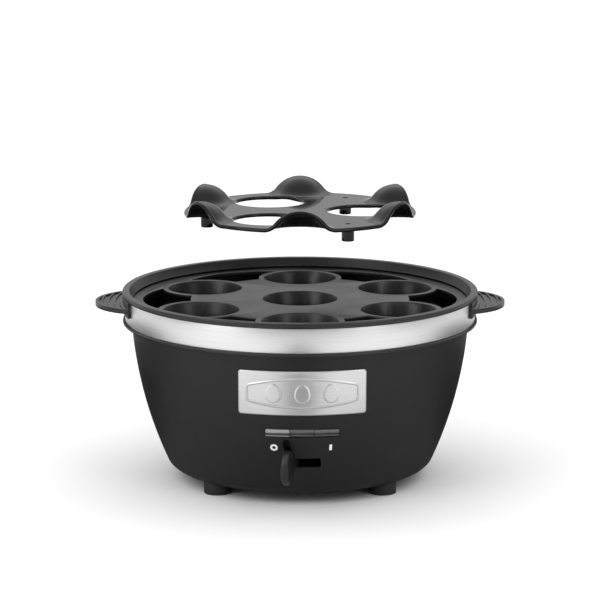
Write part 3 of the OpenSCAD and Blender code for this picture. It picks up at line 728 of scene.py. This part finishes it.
def dark_card(name, place_at, half_size, tone_back, tone_front):
    """A card that lies on the floor and is seen only in the body's shine: painted shade, which shows
    in the reflections as a darker floor than the lit one it hides.
    """
    deselect()
    bpy.ops.mesh.primitive_circle_add(vertices=96, radius=1, fill_type="NGON")
    card = named(name)
    card.scale = (*half_size, 1)
    card.location = place_at
    settle(card)
    material, tree, shader = new_material(name)
    split = tree.nodes.new("ShaderNodeSeparateXYZ")
    tree.links.new(object_coords(tree), split.inputs[0])
    # the painted shade is tone_back behind and blends to tone_front towards the camera
    front = remap(tree, split.outputs["Y"], 0.03, -0.05, 0.0, 1.0)
    tree.links.new(blend_colour(tree, front, (tone_back,) * 3, (tone_front,) * 3),
                   shader.inputs["Base Color"])
    shader.inputs["Roughness"].default_value = 0.9
    shader.inputs["Specular IOR Level"].default_value = 0.0
    card.data.materials.append(material)
    card.visible_camera = False
    card.visible_diffuse = False
    card.visible_shadow = False
    card.visible_transmission = False


def studio():
    white_room()
    # Painted shade in reflections: two dark cards, seen only in the shine of the body, band and
    # plate.
    dark_card("card_behind", (0, 0.08, 0.0006), (0.40, 0.20), 0.02, 0.6)
    dark_card("card_in_front", (0, -0.26, 0.0009), (0.035, 0.14), 0.04, 0.04)
    lamp("key_left", (-1.05, -0.85, 0.62), (0.7, 0.9), 5.5)
    lamp("key_right", (0.95, -1.0, 0.62), (0.5, 0.9), 3.2)
    bpy.context.scene.view_settings.view_transform = "Standard"


def floor():
    deselect()
    bpy.ops.mesh.primitive_plane_add(size=8.0, location=(0, 2.0, 0))
    piece = settle(named("floor"))
    material, tree, shader = new_material("pale_floor")
    drift = noise(tree, object_coords(tree), 3.0, 2.0)
    tree.links.new(blend_colour(tree, drift, (0.90, 0.90, 0.90), (0.93, 0.93, 0.93)),
                   shader.inputs["Base Color"])
    shader.inputs["Roughness"].default_value = 0.8
    shader.inputs["Specular IOR Level"].default_value = 0.0
    piece.data.materials.append(material)


# ---------------------------------------------------------------- body

def slot_outline():
    """The switch slot: a level run with a leaning leg that rises from its left part."""
    left = FRONT_X - SLOT_W / 2
    right = FRONT_X + SLOT_W / 2
    low = SLOT_Z - SLOT_H / 2
    high = SLOT_Z + SLOT_H / 2
    r = SLOT_CORNER_R
    foot = left + LEG_FOOT
    top_x = foot - LEG_RISE * math.sin(LEG_LEAN)
    top_z = SLOT_Z + LEG_RISE * math.cos(LEG_LEAN)
    side = LEG_HALF_W / math.cos(LEG_LEAN)
    at_high = foot - (high - SLOT_Z) * math.tan(LEG_LEAN)
    cap = arc(top_x, top_z, LEG_HALF_W, 12, 192, 12)
    return ([(left + r, low)] + arc(right - r, low + r, r, -90, 0, 4)
            + arc(right - r, high - r, r, 0, 90, 4) + [(at_high + side, high)] + cap
            + [(at_high - side, high)] + arc(left + r, high - r, r, 90, 180, 4)
            + arc(left + r, low + r, r, 180, 260, 3))


FLOOR_Z0 = 6.8         # ledge that the bottom cover meets
FLOOR_Z1 = 8.6
FLOOR_BEND_Z = 7.2     # where the inner wall turns in
LEDGE_IN = 7.9         # how far the ledge reaches in past the cover's edge
COVER_GAP = 0.2
FOOT_R = 6.0
BOSS_IN_Y = 61.5       # inner end of the gland's boss
BOSS_R = 8.0
GLAND_R = 5.1
SCREW_INSET = 4.0      # from the cover's edge to its screws


def bowl_outline():
    corner = [BODY_Z0 + CORNER_R * (1 - math.cos(math.radians(90 * i / 8))) for i in range(9)]
    rise = [BODY_Z0 + CORNER_R + (BODY_Z1 - 0.3 - BODY_Z0 - CORNER_R) * i / 44
            for i in range(1, 45)]
    inside = [FLOOR_BEND_Z + (BODY_Z1 - FLOOR_BEND_Z) * i / 24 for i in range(24, -1, -1)]
    outer = [(body_r(z), z) for z in corner + rise]
    inner = [(body_r(max(z, BODY_Z0 + CORNER_R)) - WALL, z) for z in inside]
    return ([(COVER_R - LEDGE_IN, FLOOR_Z0), (COVER_R + COVER_GAP, FLOOR_Z0),
             (COVER_R + COVER_GAP, 5.25), (COVER_R + 0.45, BODY_Z0)] + outer
            + [(body_r(BODY_Z1) - 0.3, BODY_Z1)] + inner
            + [(COVER_R + 2, FLOOR_BEND_Z), (COVER_R + 2, FLOOR_Z1),
               (COVER_R - LEDGE_IN, FLOOR_Z1)])


def foot_places():
    reach = FEET_HIGH.x - FOOT_R
    return [(sx * reach, sy * reach) for sx in (-1, 1) for sy in (-1, 1)]


def bowl():
    """The black body, with its slot, lamp window, foot pockets, cord boss and screw bosses."""
    piece = lathe("bowl", bowl_outline())
    carve(piece, slab("slot_tool", slot_outline(), -90, -50))
    carve(piece, slab("lamp_tool", round_box(FRONT_X, LAMP_Z, LAMP_W + 0.3, LAMP_H + 0.3, 1.1),
                      -90, -50))
    gland_z = (GLAND_LOW.z + GLAND_HIGH.z) / 2
    boss_y = GLAND_HIGH.y - 2.5
    carve(piece, cylinder("boss", 0, (boss_y + BOSS_IN_Y) / 2, gland_z, BOSS_R,
                          boss_y - BOSS_IN_Y, 64, "Y"), "UNION")
    carve(piece, cylinder("gland_tool", 0, 65, gland_z, GLAND_R, 24, 48, "Y"))
    pockets = [cylinder("pocket", x, y, BODY_Z0, FOOT_R + 0.1, 2.0) for x, y in foot_places()]
    carve(piece, join("pockets", pockets))
    reach = (COVER_R - SCREW_INSET) * math.sqrt(0.5)
    for sx, sy in ((-1, -1), (-1, 1), (1, -1), (1, 1)):
        boss = cylinder("screw_boss", sx * reach, sy * reach, 11.9, 3.4, 7.4)
        carve(boss, cylinder("screw_tool", sx * reach, sy * reach, 12, 1.3, 20, 24))
        carve(piece, boss, "UNION")
    soften(piece, 0.18, 2, 50)
    return place(piece, "base", "body_plastic", MATERIALS["body_plastic"], "base_shell")


FLANGE_T = 1.2
FLANGE_EDGE_R = 0.45
BASIN_R = 70.47
BASIN_T = 1.6
BASIN_LIP_R = 64.97    # inner edge of the lip that the seal sits on


def collar():
    """The ring that carries the band: a rounded flange, an upstand and the basin wall."""
    edge = COLLAR_HIGH.x - FLANGE_EDGE_R
    z0 = BODY_Z1
    z1 = z0 + FLANGE_T
    top = COLLAR_HIGH.z
    up = BAND_R - 0.55
    low = COLLAR_LOW.z
    outline = ([(BASIN_LIP_R, low), (BASIN_R + BASIN_T, low), (BASIN_R + BASIN_T, z0)]
               + arc(edge, z0 + FLANGE_EDGE_R, FLANGE_EDGE_R, -90, 0, 5)
               + arc(edge, z1 - FLANGE_EDGE_R, FLANGE_EDGE_R, 0, 90, 5)
               + [(up, z1), (up, top - 0.2), (up - 0.2, top), (up - 0.9, top),
                  (up - 1.1, top - 0.2), (up - 1.1, z1 + 1.0), (up - 1.7, z1 + 0.4),
                  (BASIN_R + 0.8, z1 + 0.4), (BASIN_R, z1 - 0.4), (BASIN_R, low + 2.4),
                  (BASIN_R - 0.8, low + BASIN_T), (BASIN_LIP_R, low + BASIN_T)])
    piece = smooth(lathe("collar", outline), 30)
    return place(piece, "base", "collar_plastic", MATERIALS["collar_plastic"], "collar_ring")


BAND_ROLL = 0.25       # radius of the band's rolled edges


def band():
    """The thin stainless band, with its top and bottom edges rolled in."""
    r, low, high = BAND_R, BAND_LOW.z, BAND_HIGH.z
    mid = r - BAND_ROLL
    outline = ([(r - 2 * BAND_ROLL, low), (mid, low)]
               + arc(mid, low + BAND_ROLL, BAND_ROLL, -90, 0, 3)
               + arc(mid, high - BAND_ROLL, BAND_ROLL, 0, 90, 3) + [(r - 2 * BAND_ROLL, high)])
    piece = smooth(lathe("band", outline, steps=256), 40)
    return place(piece, "base", "band_steel", MATERIALS["band_steel"], "steel_band")


def onto_body(piece):
    """Bends a flat piece, drawn in X and Z with its depth in Y, onto the body's side."""
    for vertex in piece.data.vertices:
        x, y, z = vertex.co / MM
        r = body_r(z) - y
        vertex.co.y = -math.sqrt(max(r * r - x * x, 0.0)) * MM
    return piece


def soft_step(value, low, high):
    t = min(max((value - low) / (high - low), 0.0), 1.0)
    return t * t * (3 - 2 * t)


def rounded_distance(a, b, r):
    """Distance outside two limits at once, with the corner between them rounded."""
    return math.hypot(max(a + r, 0.0), max(b + r, 0.0)) + min(max(a + r, b + r), 0.0) - r


PLATE_T = 0.8
PLATE_CORNER_R = 1.4
FRAME_BOW = 3.3        # how far the frame's long sides bow in at its ends
FRAME_GAP_X = 3.2
FRAME_GAP_Z = 3.1
FRAME_CORNER_R = 1.6
FRAME_RISE = 0.34
EGG_SPACING = 12.5
EGG_RISE = 0.22


def front_plate():
    """The curved steel plate: a raised rounded frame and three plain egg outlines."""
    w = PLATE_HIGH.x - PLATE_LOW.x
    h = PLATE_HIGH.z - PLATE_LOW.z
    mid_z = (PLATE_LOW.z + PLATE_HIGH.z) / 2
    deselect()
    bpy.ops.mesh.primitive_grid_add(x_subdivisions=220, y_subdivisions=80, size=MM)
    piece = named("front_plate")
    piece.scale = (w, h, 1)
    piece.rotation_euler = (math.pi / 2, 0, 0)
    piece.location = (FRONT_X * MM, 0, mid_z * MM)
    settle(piece)
    thicken(piece, PLATE_T, 1.0)
    outward(piece)
    top = min(vertex.co.y for vertex in piece.data.vertices)
    carve(piece, slab("plate_tool", round_box(FRONT_X, mid_z, w, h, PLATE_CORNER_R, 8), -5, 5),
          "INTERSECT")
    half_w = w / 2 - FRAME_GAP_X
    for vertex in piece.data.vertices:
        if vertex.co.y > top + 0.1 * MM:
            continue
        x = vertex.co.x / MM - FRONT_X
        z = vertex.co.z / MM - mid_z
        reach = min(abs(x) / half_w, 1.0)
        half_h = h / 2 - FRAME_GAP_Z - FRAME_BOW * reach ** 2
        edge = rounded_distance(abs(x) - half_w, abs(z) - half_h, FRAME_CORNER_R) + 0.45
        lift = FRAME_RISE * (1 - soft_step(abs(edge), 0.12, 0.5))
        for cx in (-EGG_SPACING, 0.0, EGG_SPACING):
            egg = math.hypot((x - cx) / (3.0 - 0.09 * z), z / 3.9) - 1.0
            lift = max(lift, EGG_RISE * (1 - soft_step(egg * 3.4, -0.1, 0.45)))
        rim = rounded_distance(abs(x) - w / 2, abs(z) - h / 2, PLATE_CORNER_R)
        lift -= 0.35 * soft_step(rim, -0.45, 0.0)
        vertex.co.y = top - lift * MM
    base_y = max(vertex.co.y for vertex in piece.data.vertices)
    for vertex in piece.data.vertices:
        vertex.co.y -= base_y
    onto_body(piece)
    smooth(piece, 60)
    return place(piece, "base", "plate_steel", MATERIALS["plate_steel"], "nameplate")


BAR_DEPTH = 3.4


def lamp_bar(x0, x1, proud, tall):
    """One length of the lamp's bar, rounded and bent to the body's side."""
    deselect()
    bpy.ops.mesh.primitive_cube_add(size=1)
    bar = named("lamp_bar")
    bar.scale = ((x1 - x0) * MM, BAR_DEPTH * MM, tall * MM)
    bar.location = ((FRONT_X + (x0 + x1) / 2) * MM, (BAR_DEPTH / 2 - proud) * MM, LAMP_Z * MM)
    settle(bar)
    edit(bar)
    bpy.ops.mesh.select_all(action="SELECT")
    bpy.ops.mesh.subdivide(number_cuts=7)
    done(bar)
    soften(bar, 0.45, 4, 60)
    return bar


def lamp_window():
    """The clear bar in four lengths, the second one deeper, joined into one piece."""
    half = LAMP_W / 2
    lengths = [(-half, -5.5, 0.2, 3.4), (-5.6, 5.4, -0.45, 3.5), (5.3, 11.3, 0.1, 3.2),
               (11.1, half, 0.2, 3.2)]
    piece = join("lamp_window", [lamp_bar(*length) for length in lengths])
    onto_body(piece)
    smooth(piece, 40)
    return place(piece, "base", "clear_lens", MATERIALS["clear_lens"], "light_lens")


FOOT_H = 6.0


def feet():
    """Four round rubber feet, each with a moulded step and a hollow middle."""
    pieces = []
    for x, y in foot_places():
        foot = cylinder("foot", x, y, FOOT_H / 2, FOOT_R, FOOT_H, 64)
        edit(foot)
        bpy.ops.mesh.select_all(action="DESELECT")
        done(foot)
        for face in foot.data.polygons:
            face.select = face.normal.z < -0.9
        edit(foot)
        bpy.ops.mesh.select_mode(type="FACE")
        bpy.ops.mesh.inset(thickness=1.6 * MM)
        bpy.ops.mesh.extrude_region_move(TRANSFORM_OT_translate={"value": (0, 0, 0.8 * MM)})
        done(foot)
        soften(foot, 0.55, 4, 40)
        pieces.append(foot)
    piece = join("feet", pieces)
    return place(piece, "base", "foot_rubber", MATERIALS["foot_rubber"], "rubber_feet")


# ---------------------------------------------------------------- switch lever

LEVER_JOINT = next(j for j in frame["joints"] if j["name"] == "lever_turn")
PIVOT = Vector(LEVER_JOINT["pos_m"]) / MM
REST_TURN = math.radians(-15.0)
PADDLE_OUT = 25.0      # pivot to the middle of the paddle
PADDLE_R = 6.5
PADDLE_T = 3.2
PADDLE_STRETCH = 1.177
ARM_HALF_W = 1.5
ARM_HALF_H = 1.8
TAIL = 8.0
TAIL_R = 1.3


def lever():
    """The oval paddle on its flared arm, with the hub and tail inside the body."""
    disc = cylinder("paddle", 0, -PADDLE_OUT, 0, PADDLE_R, PADDLE_T, 72, "X")
    disc.scale.z = PADDLE_STRETCH
    settle(disc)
    rounding = disc.modifiers.new("rounding", "BEVEL")
    rounding.width = 1.25 * MM
    rounding.segments = 6
    rounding.angle_limit = math.radians(50)
    bpy.ops.object.modifier_apply(modifier=rounding.name)
    arm = block("arm", (-ARM_HALF_W, 3 - PADDLE_OUT, -ARM_HALF_H), (ARM_HALF_W, 0, ARM_HALF_H))
    edit(arm)
    bpy.ops.mesh.select_all(action="SELECT")
    bpy.ops.mesh.subdivide(number_cuts=10)
    done(arm)
    for vertex in arm.data.vertices:
        flare = soft_step(-vertex.co.y / MM, 15.0, 21.5)
        vertex.co.z *= 1.0 + 0.55 * flare
        vertex.co.x *= 1.0 - 0.12 * flare
    soften(arm, 0.5, 3, 60)
    hub = soften(cylinder("hub", 0, 0, 0, 4.0, 5.6, 48), 0.3, 2, 40)
    tail = soften(block("tail", (-TAIL_R, 0, -ARM_HALF_H), (TAIL_R, TAIL, ARM_HALF_H)), 0.3)
    pin = soften(cylinder("tail_pin", 0, TAIL, -2.15, TAIL_R, 7.9, 32), 0.2)
    piece = fuse([disc, arm, hub, tail, pin])
    piece.name = "lever_paddle"
    carve(piece, cylinder("pin_tool", 0, 0, 0, 1.55, 20, 32))
    piece.rotation_euler = (0, 0, REST_TURN)
    piece.location = PIVOT * MM
    settle(piece)
    smooth(piece, 40)
    return place(piece, "lever", "lever_plastic", MATERIALS["lever_plastic"], "switch_lever")


# ---------------------------------------------------------------- lower tray

LIP_H = 2.2
DECK_T = 1.6
RIM_IN_R = 71.9
RIM_OUT_R = 76.6


def tray_rim():
    """The deep rim, from the rounded lip down to the plate's edge."""
    z_lip = RIM_HIGH.z
    z_under = z_lip - LIP_H
    low = RIM_LOW.z
    deck = low + DECK_T
    outline = ([(RIM_IN_R, low), (RIM_OUT_R, low), (77.15, low + 0.5), (77.25, z_under - 0.3),
                (77.5, z_under), (LIP_R - 0.3, z_under)]
               + arc(LIP_R - 0.3, z_under + 0.3, 0.3, -90, 0, 3)
               + arc(LIP_R - 0.7, z_lip - 0.7, 0.7, 0, 90, 6)
               + arc(LIP_R - 2.7, z_lip - 0.55, 0.55, 90, 165, 5)
               + [(76.3, z_under - 0.5)] + arc(76.75, deck + 1.2, 1.2, 180, 270, 5)[1:-1]
               + [(74.8, deck), (RIM_IN_R, deck)])
    piece = lathe("tray_rim_moulding", outline, steps=256)
    return smooth(piece, 35)


def lower_tray():
    """Rim, plate with its seats, and ribbed handles, all in the same black plastic."""
    plate = moulded_copy("seat_plate", 0.45, 3, 30)
    handles = moulded_copy("tray_handles", 0.22, 2, 30)
    for piece, node in ((tray_rim(), "tray_rim"), (plate, "seat_plate"),
                        (handles, "tray_handles")):
        place(piece, "lower_tray", "tray_plastic", MATERIALS["tray_plastic"], node)


# ---------------------------------------------------------------- upper tray

ARCH_R = 13.0
FILLET_R = 7.0
ARCH_ANGLE = math.radians(53)
ARCH_W = (ARCH_R + FILLET_R) * math.sin(ARCH_ANGLE)
ARCH_H = (ARCH_R + FILLET_R) * (1 - math.cos(ARCH_ANGLE))
ARCH_RING_R = 50.67    # the arches stand over the lower tray's outer seats
UPPER_R = 52.4
UPPER_T = 1.6
UPPER_Z = UPPER_HIGH.z - ARCH_H
SEAT_RING_R = 28.0
SEAT_CUT_R = 16.3
SEAT_BEAD_R = 0.85
EDGE_BEAD_R = 0.95
BEAD_DROP = 0.8
PEG_RING_R = 42.0
PEG_R = 2.8


def arch_lift(d):
    """Height of an arch at distance d from its crown: a round top and a filleted foot."""
    turn = ARCH_R * math.sin(ARCH_ANGLE)
    if d <= turn:
        return ARCH_H - ARCH_R + math.sqrt(ARCH_R ** 2 - d * d)
    if d < ARCH_W:
        return FILLET_R - math.sqrt(max(FILLET_R ** 2 - (ARCH_W - d) ** 2, 0.0))
    return 0.0


def tray_height(x, y):
    lift = 0.0
    for i in range(6):
        a = math.radians(30 + 60 * i)
        d = math.hypot(x - ARCH_RING_R * math.cos(a), y - ARCH_RING_R * math.sin(a))
        lift = max(lift, arch_lift(d))
    return UPPER_Z + lift


def bead(name, points, r):
    """A closed round bead through points in millimetres."""
    curve = bpy.data.curves.new(name, "CURVE")
    curve.dimensions = "3D"
    curve.bevel_depth = r * MM
    curve.bevel_resolution = 3
    spline = curve.splines.new("POLY")
    spline.points.add(len(points) - 1)
    for spot, point in zip(spline.points, points):
        spot.co = (*(Vector(point) * MM), 1)
    spline.use_cyclic_u = True
    line = bpy.data.objects.new(name, curve)
    bpy.context.scene.collection.objects.link(line)
    only(line)
    bpy.ops.object.convert(target="MESH")
    return bpy.context.object


def ring_points(cx, cy, r, n):
    """A ring just under the tray's top face, which rises and falls with it."""
    turn = [2 * math.pi * i / n for i in range(n)]
    spots = [(cx + r * math.cos(t), cy + r * math.sin(t)) for t in turn]
    return [(x, y, tray_height(x, y) - BEAD_DROP) for x, y in spots]


def around(ring_r, start):
    """Three places a third of a turn apart, from a start angle in degrees."""
    turn = [math.radians(start + 120 * i) for i in range(3)]
    return [(ring_r * math.cos(a), ring_r * math.sin(a)) for a in turn]


def upper_tray():
    """The glossy tray: six arches over the outer eggs, three seats, three pegs."""
    edge = UPPER_R - EDGE_BEAD_R
    spokes = [(edge * i / 72, 0.0) for i in range(73)]
    piece = lathe("upper_tray_moulding", spokes, closed=False, steps=300)
    for vertex in piece.data.vertices:
        vertex.co.z = tray_height(vertex.co.x / MM, vertex.co.y / MM) * MM
    edit(piece)
    bpy.ops.mesh.select_all(action="SELECT")
    bpy.ops.mesh.normals_make_consistent(inside=False)
    done(piece)
    if sum(face.normal.z for face in piece.data.polygons) < 0:
        piece.data.flip_normals()
    thicken(piece, UPPER_T, -1.0, even=True)
    seats = []
    beads = [bead("edge_bead", ring_points(0, 0, edge, 360), EDGE_BEAD_R)]
    for cx, cy in around(SEAT_RING_R, 0):
        seats.append(cylinder("seat_tool", cx, cy, UPPER_Z, SEAT_CUT_R, 30, 96))
        beads.append(bead("seat_bead", ring_points(cx, cy, 16.75, 120), SEAT_BEAD_R))
    carve(piece, join("seat_tools", seats))
    pegs = [soften(cylinder("peg", x, y, UPPER_Z - UPPER_T - 2.9, PEG_R, 6.2, 40), 0.4, 3, 40)
            for x, y in around(PEG_RING_R, 60)]
    piece = fuse([piece] + beads + pegs)
    marks = [cylinder("gate_tool", x, y, UPPER_Z, 1.25, 0.8, 24)
             for x, y in around(PEG_RING_R, 60)]
    carve(piece, join("gate_tools", marks))
    smooth(piece, 45)
    return place(piece, "upper_tray", "upper_plastic", MATERIALS["upper_plastic"], "upper_tray")


# ---------------------------------------------------------------- pieces kept close to the CAD

def rounded_copies():
    """Plain pieces that only need their edges rounded."""
    for node, width, slot in (("heating_dish", 0.5, "dish_coating"),
                              ("cord_gland", 0.5, "gland_rubber"),
                              ("base_cover", 0.25, "cover_plastic")):
        place(moulded_copy(node, width, 3, 30), "base", slot, MATERIALS[slot], node)


camera()
studio()
floor()
dress_cad_nodes()
bowl()
collar()
band()
front_plate()
lamp_window()
feet()
lever()
lower_tray()
upper_tray()
rounded_copies()
